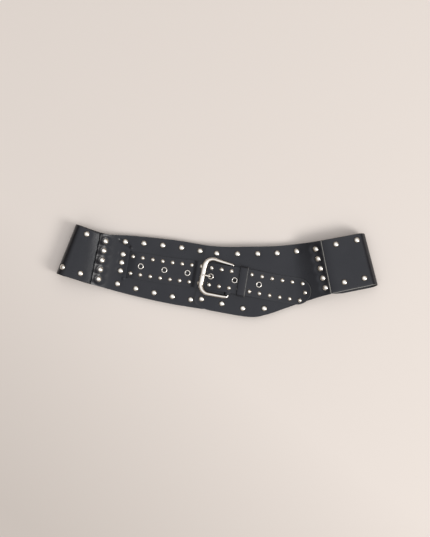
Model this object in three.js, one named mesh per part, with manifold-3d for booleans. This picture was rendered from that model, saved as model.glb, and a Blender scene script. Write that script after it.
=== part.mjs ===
// A wide studded hip belt, buckled and lying flat: a contoured leather front in two overlapping
// panels, a plain back band that folds round at both ends, and a narrow strap with a pronged buckle.
import * as THREE from "three";
import { mergeVertices } from "three/addons/utils/BufferGeometryUtils.js";
import Module from "manifold-3d";

const wasm = await Module();
wasm.setup();

// Sizes in millimetres. Stations run along the front from the outside of the left fold.
const frontSpan = 402; // straight width between the outsides of the two folds
const wingWidth = 70; // width of the band at its folds
const foldHeight = 22; // outer height of the rounded folds
const leather = 2; // wall of the panels and the back
const seat = 0.3; // clearance between pieces that touch
const restGap = 1.6; // room between the back and the layer above it, in the flat middle
const leftWing = 42.3; // fold to the left seam
const rightWing = 61.8; // right seam to the fold
const wingTuck = 16; // what each wing runs on beneath its panel
const leftFlat = 18; // level part of the left wing, before it runs down
const leftRun = 56; // length of the left slope
const rightFlat = 50;
const rightRun = 55;
const lapStation = 180; // where the right panel begins on top of the left one
const lapLength = 52; // overlap of the two panels
const lapSkew = 2.6; // how far the lap's edge turns from square, at each side
const lapCorner = { run: 24, rise: 12 }; // rounded lower corner of the lap
const dropRun = 45; // length in which the right panel comes down past the lap
const lapEase = 30; // level part of the right panel past the lap
const lapClimb = 7.5; // length in which the strap climbs onto the lap
const lapLead = 2.2; // where that climb ends, ahead of the lap's edge
const hiddenInset = 4; // what the left panel is narrowed by, at each edge, beneath the right one
const hiddenFrom = 8; // where that starts, from the lap's edge
const hiddenTo = 26; // and where it is complete

const strapWidth = 35;
const strapLeather = 2.2;
const strapLength = 244; // from the slit to the tip
const strapRoot = 17; // stretch held beneath the panel
const strapTurn = -9.1; // degrees in plan
const slitStation = 83.9;
const slitLength = 7; // along the strap
const slitSide = 0.6; // room at each edge of the strap
const slitEase = 1; // what the strap's rise takes past each end of the slit
const strapDrift = 1.6; // how far the strap is drawn towards the slit where it lies over the buckle
const strapSway = 1.5; // how far it bows sideways there

const studRadius = 3.8;
const studHeight = 2.4;
const postRadius = 1.2;
const postRoom = 0.6; // hole's radius past the post's, at its corners
const backRadius = 2;
const backHeight = 0.7;
const coneRadius = 2.75; // small studs on the strap
const coneHeight = 2.4;
const coneSink = 0.5; // set into the strap
const conePitch = 13.33;
const coneFirst = 5; // slit to the first pair
const coneInset = 6.3; // centre to the strap's edge
const tipInset = 7.3; // centre of the last stud to the tip
const eyeletFirst = 17.3;
const eyeletPitch = 31.7;
const eyeletCount = 6;
const eyeletOuter = 4.4;
const eyeletHole = 2.5;
const eyeletWall = 0.45;
const eyeletRim = 0.9;
const eyeletRoom = 0.35; // hole's radius past the tube's, at its corners

const bowStart = 40; // the bowed stretch, from the slit
const bowEnd = 210;
const bowRun = 65; // length in which the bow comes and goes

const buckleTurn = -12; // degrees in plan
const buckleEyelet = 3; // the eyelet that the prong is in, counted from 0
const barWidth = 7; // front bar of the frame, in plan
const barHeight = 5.2;
const railWidth = 4.8; // side bars
const railTaper = 0.85; // share left at their far ends
const heelBar = 3.5; // diameter of the hidden bar
const frameReach = 14.4; // prong's eyelet to the outside of the front bar
const frameLength = 41.5;
const frameRoom = 3; // strap's edge to the side bar, at the front
const heelRoom = 0.9; // the same at the heel
const frameCorner = 11; // centreline radius
const barLift = 2.8; // front bar above the strap
const prongWidth = 2.7;
const prongHeight = 2.4;
const prongEyeWidth = 4; // its flat eye round the heel bar
const tabLeather = 1.5; // wall of the tab and the keeper
const tabWidth = 28;
const tabLength = 32; // heel bar to the tab's end
const tabRivetInset = 3.6;
const tabRivetSpread = 8;
const keeperWidth = 10.5;
const keeperPlace = 42; // prong's eyelet to the keeper's middle
const keeperRoom = 0.8;
const keeperCorner = 2; // centreline radius
const keeperPocket = 4 * seat; // level stretch of the tab past each edge of the keeper
const riseLead = 24; // where the strap starts to climb, ahead of the prong's eyelet
const riseTail = 72; // length in which it comes down past the heel bar
const slotLength = 3.4 * heelBar; // opening in the tab for the prong's eye
const cutPast = 2; // what a cutting tool runs on past the walls that it goes through

// How finely the shapes are divided: lengths between stations or runs, and corners of round pieces.
const flatStep = 9;
const slopeStep = 5.6;
const dropStep = 7;
const backStep = 17;
const leastStep = 0.6;
const rootStep = 8;
const slitStep = 1.5;
const strapStep = 7.2;
const studSides = 10;
const eyeletSides = 9;
const smallSides = 8;
const coneSides = 6;

// Sections of the front: place along frontSpan, offset and half widths as shares of wingWidth,
// and the lean of the line across the belt in degrees.
const sections = [
  { along: 0, offset: 0.414, lean: 21.9, above: 0.5, below: 0.5 },
  { along: 0.0998, offset: 0.223, lean: 11.6, above: 0.486, below: 0.486 },
  { along: 0.2015, offset: 0.121, lean: 9.1, above: 0.546, below: 0.553 },
  { along: 0.341, offset: 0.004, lean: 9.1, above: 0.579, below: 0.62 },
  { along: 0.4736, offset: -0.114, lean: 9.1, above: 0.581, below: 0.63 },
  { along: 0.6045, offset: -0.239, lean: 4, above: 0.695, below: 0.635 },
  { along: 0.6592, offset: -0.207, lean: 1, above: 0.665, below: 0.623 },
  { along: 0.7189, offset: -0.129, lean: -2, above: 0.605, below: 0.577 },
  { along: 0.7886, offset: -0.021, lean: -6.5, above: 0.542, below: 0.536 },
  { along: 0.8495, offset: 0.063, lean: -11, above: 0.51, below: 0.51 },
  { along: 1, offset: 0.236, lean: -14.4, above: 0.5, below: 0.5 },
];

// Rows of large studs along the edges, by the visible stretch that they are on and the edge (1 top,
// -1 bottom): the first and last as shares of that stretch, how many, and the distance to the edge
// as a share of wingWidth, for the first one and, where it differs, the last.
const studRows = [
  ["left_wing_top_stud", "leftWing", 1, 0.516, 0.516, 1, 0.11],
  ["left_wing_low_stud", "leftWing", -1, 0.6505, 0.1215, 2, 0.155],
  ["left_top_stud", "left", 1, 0.2426, 0.9651, 5, 0.124],
  ["left_low_stud", "left", -1, 0.2325, 0.9525, 5, 0.144],
  ["right_top_stud", "right", 1, 0.1048, 0.7867, 5, 0.135],
  ["right_low_stud", "right", -1, 0.0438, 0.5155, 4, 0.188, 0.131],
  ["right_wing_top_stud", "rightWing", 1, 0.314, 0.777, 2, 0.115],
  ["right_wing_low_stud", "rightWing", -1, 0.3175, 0.7414, 2, 0.158],
];

// Columns of rivets across the belt, evenly spaced.
const seamInset = 8; // seam's edge to its rivets
const seamRivets = 5;
const leftSeamPitch = 12.7;
const rightSeamPitch = 13.1;
const rightSeamSlant = 0.07; // sideways shift for each millimetre across
const rightSeamLead = 0.6; // the right column stands nearer to its seam's edge
const seamClimb = 13; // where a strap that reaches the right column starts to rise over it
const rootRivets = 3;
const rootPitch = 11;
const rootOffset = 1; // the root's column stands a little above the strap's middle

const { degToRad, clamp, lerp, smoothstep } = THREE.MathUtils;
const vec = (x, y, z) => new THREE.Vector3(x, y, z);

const spine = new THREE.CatmullRomCurve3(
  sections.map((row) => vec((row.along - 0.5) * frontSpan, row.offset * wingWidth, 0)),
  false,
  "catmullrom",
);
const form = new THREE.CatmullRomCurve3(
  sections.map((row) => vec(degToRad(row.lean), row.above * wingWidth, row.below * wingWidth)),
  false,
  "catmullrom",
);
spine.arcLengthDivisions = 400;
const front = spine.getLength();

const foldRadius = foldHeight / 2;
const leftSeam = leftWing;
const rightSeam = front - rightWing;
const leftWingEnd = leftSeam + wingTuck;
const rightWingEnd = rightSeam - wingTuck;
const leftPanelEnd = lapStation + lapLength;
const dropStart = leftPanelEnd + lapEase;
const layerStep = leather + seat;

// The line across the belt at a station.
function ruling(station) {
  const share = spine.getUtoTmapping(clamp(station / front, 0, 1));
  const at = spine.getPoint(share);
  const { x: lean, y: above, z: below } = form.getPoint(share);
  const across = vec(Math.sin(lean), Math.cos(lean), 0);
  return { at, above, below, across, along: vec(across.y, -across.x, 0) };
}

// A point of the belt: station, distance across from the middle line, height.
function place(station, side, height) {
  const line = ruling(station);
  return line.at.clone().addScaledVector(line.across, side).setZ(height);
}

// The station of the line across the belt that passes through a point in plan.
function stationOf(point) {
  let station = clamp((point.x / frontSpan + 0.5) * front, 0, front);
  for (let round = 0; round < 25; round++) {
    const line = ruling(station);
    station = clamp(station + point.clone().sub(line.at).setZ(0).dot(line.along), 0, front);
  }
  return station;
}

const spread = (from, to, step) => {
  const count = Math.max(1, Math.round(Math.abs(to - from) / step));
  return Array.from({ length: count + 1 }, (_, i) => lerp(from, to, i / count));
};

// Stations that every layer shares, closer together on the slopes.
const marks = [
  ...spread(foldRadius, leftFlat, flatStep),
  ...spread(leftFlat, leftFlat + leftRun, slopeStep),
  ...spread(leftFlat + leftRun, dropStart, flatStep),
  ...spread(dropStart, dropStart + dropRun, dropStep),
  ...spread(front - rightFlat - rightRun, front - rightFlat, slopeStep),
  ...spread(front - rightFlat, front - foldRadius, flatStep),
  leftSeam, rightSeam, leftWingEnd, rightWingEnd, leftPanelEnd, lapStation,
]
  .sort((a, b) => a - b)
  .filter((mark, i, all) => i === 0 || mark - all[i - 1] > leastStep);

// Underside of the wings' layer: high at the folds, low in the middle.
function restLevel(station) {
  const left = 1 - smoothstep(station, leftFlat, leftFlat + leftRun);
  const right = smoothstep(station, front - rightFlat - rightRun, front - rightFlat);
  return lerp(leather + restGap, foldHeight - leather, Math.max(left, right));
}

// How far the right panel lies above the level of the left one.
const lapRise = (station) => layerStep * (1 - smoothstep(station, dropStart, dropStart + dropRun));

// A height function, straight between the shared stations as the faceted layers are.
function faceted(height) {
  const heights = marks.map(height);
  return (station) => {
    let i = 1;
    while (i < marks.length - 1 && marks[i] < station) i++;
    const share = clamp((station - marks[i - 1]) / (marks[i] - marks[i - 1]), 0, 1);
    return lerp(heights[i - 1], heights[i], share);
  };
}
const wingBase = faceted(restLevel);
const leftBase = faceted((station) => restLevel(station) + layerStep);
const rightBase = faceted((station) => restLevel(station) + layerStep + lapRise(station));
const marksWithin = (from, to) => {
  const inside = marks.filter((mark) => mark > from + leastStep && mark < to - leastStep);
  return [from, ...inside, to];
};

// A closed skin through rings of equally many points, turned to face outwards.
function loft(rings, closed = false) {
  const count = rings[0].length;
  const faces = [];
  for (let i = 0; i < rings.length - (closed ? 0 : 1); i++) {
    for (let j = 0; j < count; j++) {
      const next = ((i + 1) % rings.length) * count;
      const turn = (j + 1) % count;
      faces.push([i * count + j, i * count + turn, next + turn], [i * count + j, next + turn, next + j]);
    }
  }
  if (!closed) {
    const end = (rings.length - 1) * count;
    for (let j = 1; j < count - 1; j++) faces.push([0, j + 1, j], [end, end + j, end + j + 1]);
  }
  const points = rings.flat();
  const volume = faces.reduce((sum, [a, b, c]) => sum + points[a].dot(points[b].clone().cross(points[c])), 0);
  const geometry = new THREE.BufferGeometry();
  geometry.setAttribute("position", new THREE.Float32BufferAttribute(points.flatMap((p) => p.toArray()), 3));
  geometry.setIndex((volume < 0 ? faces.map(([a, b, c]) => [a, c, b]) : faces).flat());
  return geometry;
}

function solidOf(geometry) {
  const bare = geometry.clone();
  bare.deleteAttribute("normal");
  bare.deleteAttribute("uv");
  const merged = mergeVertices(bare, 1e-4);
  const mesh = new wasm.Mesh({
    numProp: 3,
    vertProperties: merged.attributes.position.array,
    triVerts: new Uint32Array(merged.index.array),
  });
  return new wasm.Manifold(mesh);
}

function geometryOf(solid) {
  const mesh = solid.getMesh();
  const geometry = new THREE.BufferGeometry();
  geometry.setAttribute("position", new THREE.BufferAttribute(mesh.vertProperties, 3));
  geometry.setIndex(new THREE.BufferAttribute(mesh.triVerts, 1));
  return geometry;
}

const cut = (geometry, tools) =>
  geometryOf(tools.reduce((solid, tool) => solid.subtract(solidOf(tool)), solidOf(geometry)));

// A round body turned about an upright axis, then moved to a seat with its axis along the normal.
function turned(profile, sides, at, normal) {
  const geometry = new THREE.LatheGeometry(profile.map(([x, y]) => new THREE.Vector2(x, y)), sides);
  geometry.applyQuaternion(new THREE.Quaternion().setFromUnitVectors(vec(0, 1, 0), normal));
  return geometry.translate(at.x, at.y, at.z);
}

const finishes = {
  leather: new THREE.MeshStandardMaterial({ color: 0x2b2b2f, roughness: 0.55, metalness: 0 }),
  strap: new THREE.MeshStandardMaterial({ color: 0x29292d, roughness: 0.5, metalness: 0 }),
  nickel: new THREE.MeshStandardMaterial({ color: 0xd9d4cb, roughness: 0.2, metalness: 1 }),
};

const belt = new THREE.Group();
function add(name, geometry, finish) {
  const mesh = new THREE.Mesh(geometry, finishes[finish]);
  mesh.name = name;
  belt.add(mesh);
}

// A wall between two stations, from an underside level, with its half widths drawn in by a tuck.
function wallRings(stations, base, thickness, tuck = () => 0) {
  return stations.map((station) => {
    const { above, below } = ruling(station);
    const low = base(station);
    const upper = above - tuck(station);
    const lower = below - tuck(station);
    return [
      place(station, upper, low + thickness),
      place(station, -lower, low + thickness),
      place(station, -lower, low),
      place(station, upper, low),
    ];
  });
}

// The rounded fold: the wall turns from the top layer to the bottom one about a centre
// one radius inside the end of the front.
function foldRings(station, outward) {
  return spread(90, 270, 22.5).slice(1, -1).map((degrees) => {
    const angle = degToRad(degrees);
    const ring = (radius) => ({
      station: station - outward * radius * Math.cos(angle),
      height: foldRadius + radius * Math.sin(angle),
    });
    const outer = ring(foldRadius);
    const inner = ring(foldRadius - leather);
    const side = wingWidth / 2;
    return [
      place(outer.station, side, outer.height),
      place(outer.station, -side, outer.height),
      place(inner.station, -side, inner.height),
      place(inner.station, side, inner.height),
    ];
  });
}

function backPanel() {
  const leftTop = wallRings(marksWithin(foldRadius, leftWingEnd), wingBase, leather).reverse();
  const rightTop = wallRings(marksWithin(rightWingEnd, front - foldRadius), wingBase, leather);
  const side = wingWidth / 2;
  const under = spread(foldRadius, front - foldRadius, backStep).map((station) => [
    place(station, side, 0),
    place(station, -side, 0),
    place(station, -side, leather),
    place(station, side, leather),
  ]);
  const rightFold = foldRings(front - foldRadius, 1).reverse();
  return loft([...leftTop, ...foldRings(foldRadius, -1), ...under, ...rightFold, ...rightTop.reverse()]);
}

// The left panel narrows a little once the right one covers it.
const hiddenTuck = (station) =>
  hiddenInset * smoothstep(station, lapStation + hiddenFrom, lapStation + hiddenTo);
const leftPanel = () => loft(wallRings(marksWithin(leftSeam, leftPanelEnd), leftBase, leather, hiddenTuck));

// The right panel starts with a slanted edge and one rounded corner.
function rightPanel() {
  const lead = spread(0, 90, 18).slice(0, -1).map((degrees) => {
    const angle = degToRad(degrees);
    const station = lapStation + lapCorner.run * (1 - Math.cos(angle));
    const ease = Math.cos(angle);
    const upperStation = station + 2 * lapSkew * ease;
    const { above } = ruling(upperStation);
    const { below } = ruling(station);
    const lower = below - lapCorner.rise * (1 - Math.sin(angle));
    const low = rightBase(station);
    return [
      place(upperStation - lapSkew * ease, above, low + leather),
      place(station - lapSkew * ease, -lower, low + leather),
      place(station - lapSkew * ease, -lower, low),
      place(upperStation - lapSkew * ease, above, low),
    ];
  });
  const rest = wallRings(marksWithin(lapStation + lapCorner.run, rightSeam), rightBase, leather);
  return loft([...lead, ...rest]);
}

// The strap's own frame: distance from the slit, distance across, height.
const slitCentre = place(slitStation, 0, 0);
const strapAlong = vec(Math.cos(degToRad(strapTurn)), Math.sin(degToRad(strapTurn)), 0);
const strapAcross = vec(-strapAlong.y, strapAlong.x, 0);
const strapBow = (run) =>
  smoothstep(run, bowStart, bowStart + bowRun) - smoothstep(run, bowEnd - bowRun, bowEnd);
const strapPlan = (run, side) =>
  slitCentre
    .clone()
    .addScaledVector(strapAlong, run - strapDrift * strapBow(run))
    .addScaledVector(strapAcross, side + strapSway * strapBow(run));
const prongRun = eyeletFirst + buckleEyelet * eyeletPitch;
const heelReach = frameLength - frameReach - heelBar / 2;
const stackTop = 2 * (seat + tabLeather) + seat + heelBar;
const lapRun = strapPlan(0, 0).distanceTo(place(lapStation, 0, 0));

// Where the strap reaches the right seam, it lies over that seam's rivets.
const overRivets = (station) => {
  const column = rightSeam - seamInset;
  return (studHeight + 2 * seat) * smoothstep(station, column - seamClimb, column - studRadius);
};

function strapUnder(run, side) {
  const station = stationOf(strapPlan(run, side));
  const out = smoothstep(run, -slitEase, slitLength + slitEase);
  const inside = leftBase(station) - seat - strapLeather;
  const outside = leftBase(station) + leather + seat + overRivets(station);
  const lap = lapRise(station) * smoothstep(run, lapRun - lapClimb - lapLead, lapRun - lapLead);
  const heel = prongRun + heelReach;
  const climb = smoothstep(run, prongRun - riseLead, heel) - smoothstep(run, heel, heel + riseTail);
  return lerp(inside, outside, out) + lap + stackTop * climb;
}

function strapNormal(run, side) {
  const rise = (a, b) => strapUnder(...a) - strapUnder(...b);
  const slope = rise([run + 1, side], [run - 1, side]) / 2;
  const bank = rise([run, side + 1], [run, side - 1]) / 2;
  return vec(0, 0, 1).addScaledVector(strapAlong, -slope).addScaledVector(strapAcross, -bank).normalize();
}
const strapTop = (run, side, lift = 0) => {
  const at = strapPlan(run, side).setZ(strapUnder(run, side) + strapLeather);
  return at.addScaledVector(strapNormal(run, side), lift);
};

function strapBody() {
  const half = strapWidth / 2;
  const ring = (run, side) => {
    const sides = [side, 0, -side];
    return [
      ...sides.map((at) => strapPlan(run, at).setZ(strapUnder(run, at) + strapLeather)),
      ...sides.reverse().map((at) => strapPlan(run, at).setZ(strapUnder(run, at))),
    ];
  };
  const runs = [
    ...spread(-strapRoot, -slitEase, rootStep),
    ...spread(-slitEase, slitLength + slitEase, slitStep).slice(1),
    ...spread(slitLength + slitEase, strapLength - half, strapStep).slice(1),
  ];
  const tip = spread(0, 84, 17).slice(1).map((degrees) => {
    const angle = degToRad(degrees);
    return ring(strapLength - half + half * Math.sin(angle), half * Math.cos(angle));
  });
  return loft([...runs.map((run) => ring(run, half)), ...tip]);
}

// Small pointed studs, set a little into the strap.
function coneStuds() {
  const profile = [
    [0, -coneSink],
    [coneRadius, -coneSink],
    [coneRadius * 0.72, coneHeight * 0.6],
    [0, coneHeight],
  ];
  const offset = strapWidth / 2 - coneInset;
  const conePairs = Math.floor((strapLength - tipInset - coneFirst) / conePitch) + 1;
  const pairs = Array.from({ length: conePairs }, (_, i) => coneFirst + i * conePitch);
  const places = pairs.flatMap((run) => [[run, offset], [run, -offset]]);
  places.push([strapLength - tipInset, 0]);
  return places.map(([run, side]) => turned(profile, coneSides, strapTop(run, side), strapNormal(run, side)));
}

// A domed stud or rivet through one or more walls, with a flat back.
function studProfile(depth, radius = studRadius, height = studHeight) {
  return [
    [0, -depth - 2 * seat - backHeight],
    [backRadius, -depth - 2 * seat],
    [postRadius, -depth - 2 * seat],
    [postRadius, 0],
    [radius, height * 0.12],
    [radius * 0.62, height * 0.8],
    [0, height],
  ];
}
// A plain round tool that cuts down to a depth.
const drill = (radius, depth, sides, at, normal) => {
  const low = -depth - cutPast;
  return turned([[0, low], [radius, low], [radius, cutPast], [0, cutPast]], sides, at, normal);
};
const postHole = (at, normal, depth) => drill(postRadius + postRoom, depth, coneSides, at, normal);

// Where a large stud sits: the top of its layer and the direction that it points in.
const layerTops = { wing: wingBase, left: leftBase, right: rightBase };
function studSeat(layer, station, side) {
  const outward = station < front / 2 ? 1 : -1;
  const reach = outward > 0 ? station : front - station;
  if (layer === "wing" && reach < foldRadius) {
    const angle = Math.acos(clamp((foldRadius - reach) / foldRadius, -1, 1));
    const normal = ruling(station).along.clone().multiplyScalar(-outward * Math.cos(angle));
    const at = place(station, side, foldRadius * (1 + Math.sin(angle)));
    return { at, normal: normal.setZ(Math.sin(angle)).normalize(), bend: seat };
  }
  const top = layerTops[layer];
  const slope = top(station + 0.5) - top(station - 0.5);
  const normal = ruling(station).along.clone().multiplyScalar(-slope).setZ(1).normalize();
  return { at: place(station, side, top(station) + leather), normal, bend: 0 };
}

const stretches = {
  leftWing: { layer: "wing", from: 0, to: leftSeam },
  left: { layer: "left", from: leftSeam, to: lapStation },
  right: { layer: "right", from: lapStation, to: rightSeam },
  rightWing: { layer: "wing", from: rightSeam, to: front },
};
const walls = (count) => count * leather + (count - 1) * seat;
const studs = [];
for (const [row, stretch, edge, first, last, count, inset, insetLast = inset] of studRows) {
  const { layer, from, to } = stretches[stretch];
  for (let i = 0; i < count; i++) {
    const share = count > 1 ? i / (count - 1) : 0;
    const station = lerp(from, to, lerp(first, last, share));
    const line = ruling(station);
    const half = layer === "wing" ? wingWidth / 2 : edge > 0 ? line.above : line.below;
    const side = edge * (half - lerp(inset, insetLast, share) * wingWidth);
    const both = layer === "right" && station < leftPanelEnd;
    const name = count > 1 ? `${row}_${i + 1}` : row;
    studs.push({ name, layer, station, side, depth: walls(both ? 2 : 1), through: both ? ["left"] : [] });
  }
}
for (let i = 0; i < seamRivets; i++) {
  const step = (seamRivets - 1) / 2 - i;
  const both = { depth: walls(2), through: ["wing"] };
  const leftAt = { station: leftSeam + seamInset, side: step * leftSeamPitch };
  studs.push({ name: `left_seam_rivet_${i + 1}`, layer: "left", ...leftAt, ...both });
  const side = step * rightSeamPitch;
  const rightAt = { station: rightSeam - seamInset + rightSeamLead - side * rightSeamSlant, side };
  studs.push({ name: `right_seam_rivet_${i + 1}`, layer: "right", ...rightAt, ...both });
}
for (let i = 0; i < rootRivets; i++) {
  const at = strapPlan(-strapRoot / 2, ((rootRivets - 1) / 2 - i) * rootPitch + rootOffset);
  const station = stationOf(at);
  const side = at.clone().sub(ruling(station).at).dot(ruling(station).across);
  const depth = leather + seat + strapLeather;
  studs.push({ name: `strap_root_rivet_${i + 1}`, layer: "left", station, side, depth, through: ["strap"] });
}

const holes = { wing: [], left: [], right: [], strap: [] };
for (const stud of studs) {
  const { at, normal, bend } = studSeat(stud.layer, stud.station, stud.side);
  const base = at.clone().addScaledVector(normal, seat);
  add(stud.name, turned(studProfile(stud.depth + bend), studSides, base, normal), "nickel");
  for (const layer of [stud.layer, ...stud.through]) holes[layer].push(postHole(at, normal, stud.depth));
}

// The slit that the strap comes up through, square to the strap.
const slit = new THREE.BoxGeometry(slitLength, strapWidth + 2 * slitSide, 8 * leather);
slit.rotateZ(degToRad(strapTurn));
const slitAt = strapPlan(slitLength / 2, 0);
slit.translate(slitAt.x, slitAt.y, leftBase(slitStation));

// Eyelets with a rolled rim, each seated on the strap.
const eyeletRuns = Array.from({ length: eyeletCount }, (_, i) => eyeletFirst + i * eyeletPitch);
const eyeletProfile = [
  [eyeletHole, -strapLeather],
  [eyeletHole + eyeletWall, -strapLeather],
  [eyeletHole + eyeletWall, seat],
  [eyeletOuter, seat],
  [(eyeletOuter + eyeletHole) / 2, seat + eyeletRim],
  [eyeletHole, seat + eyeletRim * 0.4],
  [eyeletHole, -strapLeather],
];
for (const [i, run] of eyeletRuns.entries()) {
  const at = strapTop(run, 0);
  const normal = strapNormal(run, 0);
  add(`eyelet_${i + 1}`, turned(eyeletProfile, eyeletSides, at, normal), "nickel");
  holes.strap.push(drill(eyeletHole + eyeletWall + eyeletRoom, strapLeather, smallSides, at, normal));
}

// The buckle's own frame: distance from the prong's eyelet towards the tip, across, and height
// above the top of the right panel.
const buckleCentre = strapPlan(prongRun, 0);
const buckleAlong = vec(Math.cos(degToRad(buckleTurn)), Math.sin(degToRad(buckleTurn)), 0);
const buckleAcross = vec(-buckleAlong.y, buckleAlong.x, 0);
const deck = rightBase(leftPanelEnd) + leather;
const bucklePoint = (reach, side, height) =>
  buckleCentre
    .clone()
    .addScaledVector(buckleAlong, reach)
    .addScaledVector(buckleAcross, side)
    .setZ(deck + height);

// Oval rings along a path, each square to it, with its own width and height.
function sweep(path, closed, corners = smallSides) {
  return path.map((stop, i) => {
    const before = path[closed ? (i + path.length - 1) % path.length : Math.max(0, i - 1)].at;
    const after = path[closed ? (i + 1) % path.length : Math.min(path.length - 1, i + 1)].at;
    const tangent = after.clone().sub(before).normalize();
    const side = stop.side ? stop.side.clone() : tangent.clone().cross(vec(0, 0, 1)).normalize();
    const up = side.clone().cross(tangent).normalize();
    return Array.from({ length: corners }, (_, k) => {
      const angle = ((k + 0.5) / corners) * 2 * Math.PI;
      const grow = 1 / Math.cos(Math.PI / corners);
      return stop.at
        .clone()
        .addScaledVector(side, (Math.cos(angle) * stop.width * grow) / 2)
        .addScaledVector(up, (Math.sin(angle) * stop.height * grow) / 2);
    });
  });
}

const heelHeight = 2 * seat + tabLeather + heelBar / 2;
const barHeightMid = seat + strapLeather + barLift + barHeight / 2;
const frontReach = -frameReach + barWidth / 2;
const frontSide = strapWidth / 2 + frameRoom + railWidth / 2;
const heelSide = strapWidth / 2 + heelRoom + (railWidth * railTaper) / 2;

function framePath() {
  const stop = (reach, side, width, height) => {
    const share = clamp((reach - frontReach) / (heelReach - frontReach), 0, 1);
    return { at: bucklePoint(reach, side, lerp(barHeightMid, heelHeight, share)), width, height };
  };
  const far = railWidth * railTaper;
  const rail = spread(0, 1, 0.34).reverse().map((share) =>
    stop(
      lerp(frontReach + frameCorner, heelReach, share),
      lerp(frontSide, heelSide, share),
      lerp(railWidth, far, share),
      lerp(barHeight * 0.9, far * 0.9, share),
    ),
  );
  const corner = spread(0, 90, 22.5).slice(1).map((degrees) => {
    const angle = degToRad(degrees);
    return stop(
      frontReach + frameCorner * (1 - Math.sin(angle)),
      frontSide - frameCorner * (1 - Math.cos(angle)),
      lerp(railWidth, barWidth, degrees / 90),
      barHeight,
    );
  });
  const half = [...rail, ...corner];
  const mirrored = half.map((one) => {
    const offset = one.at.clone().sub(buckleCentre).dot(buckleAcross);
    return { ...one, at: one.at.clone().addScaledVector(buckleAcross, -2 * offset) };
  });
  const heel = [-0.9, 0, 0.9].map((share) => stop(heelReach, share * heelSide, heelBar, heelBar));
  return [...half, ...mirrored.reverse(), ...heel];
}

// The prong: a flat eye round the heel bar, then a rod that dips under the strap, rises
// through the eyelet and lies over the front bar.
function prongPath(grow = 0) {
  const eyeRadius = heelBar / 2 + seat + tabLeather / 2;
  const eye = spread(-150, 90, 34).map((degrees) => {
    const angle = degToRad(degrees);
    const reach = heelReach + eyeRadius * Math.cos(angle);
    return { reach, height: heelHeight + eyeRadius * Math.sin(angle), width: prongEyeWidth, thick: tabLeather };
  });
  const crossing = seat + strapLeather + stackTop * smoothstep(0, -riseLead, heelReach);
  const over = barHeightMid + barHeight / 2 - prongHeight * 0.1;
  const rod = [
    { reach: heelReach * 0.8, height: heelHeight + 2 },
    { reach: heelReach * 0.5, height: heelHeight + 0.4 },
    { reach: heelReach * 0.24, height: heelHeight - 1.3 },
    { reach: heelReach * 0.09, height: heelHeight - 1.7 },
    { reach: 0.5, height: heelHeight - 0.8 },
    { reach: 0, height: crossing - strapLeather / 2 },
    { reach: 0, height: crossing + 0.8 },
    { reach: -0.8, height: over - 1.1 },
    { reach: -3, height: over },
    { reach: frontReach + barWidth / 2, height: over },
    { reach: frontReach - barWidth * 0.1, height: over - 0.2 },
  ].map((stop) => ({ ...stop, width: prongWidth, thick: prongHeight }));
  const point = rod.pop();
  rod.push({ ...point, width: prongWidth * 0.7, thick: prongHeight * 0.6 });
  return [...eye, ...rod].map((stop) => ({
    at: bucklePoint(stop.reach, 0, stop.height),
    side: buckleAcross,
    width: stop.width + 2 * grow,
    height: stop.thick + 2 * grow,
  }));
}

// The tab round the heel bar: both legs run back beneath the strap, the keeper between them.
const between = seat + tabLeather;
function tabRings() {
  const radius = heelBar / 2 + seat + tabLeather / 2;
  const lowLeg = seat + tabLeather / 2;
  const end = heelReach + tabLength;
  const wrap = spread(270, 90, 30).map((degrees) => {
    const angle = degToRad(degrees);
    return [heelReach + radius * Math.cos(angle), heelHeight + radius * Math.sin(angle)];
  });
  const keeperStart = keeperPlace - keeperWidth / 2 - keeperPocket;
  const keeperStop = keeperPlace + keeperWidth / 2 + keeperPocket;
  const path = [
    [end, lowLeg],
    ...wrap,
    [keeperStart, lowLeg + 2 * between],
    [keeperStop, lowLeg + 2 * between],
    [end - 2 * tabRivetInset - seat, lowLeg + between],
    [end, lowLeg + between],
  ];
  return path.map(([reach, height], i) => {
    const before = path[Math.max(0, i - 1)];
    const after = path[Math.min(path.length - 1, i + 1)];
    const run = Math.hypot(after[0] - before[0], after[1] - before[1]);
    const normal = [-(after[1] - before[1]) / run, (after[0] - before[0]) / run];
    const point = (side, lift) => bucklePoint(reach + normal[0] * lift, side, height + normal[1] * lift);
    const half = tabLeather / 2;
    const side = tabWidth / 2;
    return [point(side, half), point(-side, half), point(-side, -half), point(side, -half)];
  });
}

// The keeper: a closed leather loop round the strap.
function keeperRings() {
  const run = prongRun + keeperPlace;
  const low = deck + seat + tabLeather + seat + tabLeather / 2;
  const top = strapUnder(run, 0) + strapLeather + coneHeight + seat + tabLeather / 2;
  const half = strapWidth / 2 + keeperRoom + tabLeather / 2;
  const corners = [[1, 1], [-1, 1], [-1, -1], [1, -1]];
  const loop = corners.flatMap(([right, up], i) =>
    [0, 45, 90].map((degrees) => {
      const angle = degToRad(degrees + 90 * i);
      const side = right * (half - keeperCorner) + keeperCorner * Math.cos(angle);
      const height = (up > 0 ? top - keeperCorner : low + keeperCorner) + keeperCorner * Math.sin(angle);
      return { side, height, angle };
    }),
  );
  return loop.map((stop) => {
    const point = (lift, edge) => {
      const side = stop.side + lift * Math.cos(stop.angle);
      return strapPlan(run + edge * (keeperWidth / 2), side).setZ(stop.height + lift * Math.sin(stop.angle));
    };
    const half = tabLeather / 2;
    return [point(half, -1), point(half, 1), point(-half, 1), point(-half, -1)];
  });
}

add("back_panel", cut(backPanel(), holes.wing), "leather");

add("buckle_prong", loft(sweep(prongPath(), false)), "nickel");
const barNotch = loft(sweep(prongPath(seat).slice(-4), false));
add("buckle_frame", cut(loft(sweep(framePath(), true), true), [barNotch]), "nickel");

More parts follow.
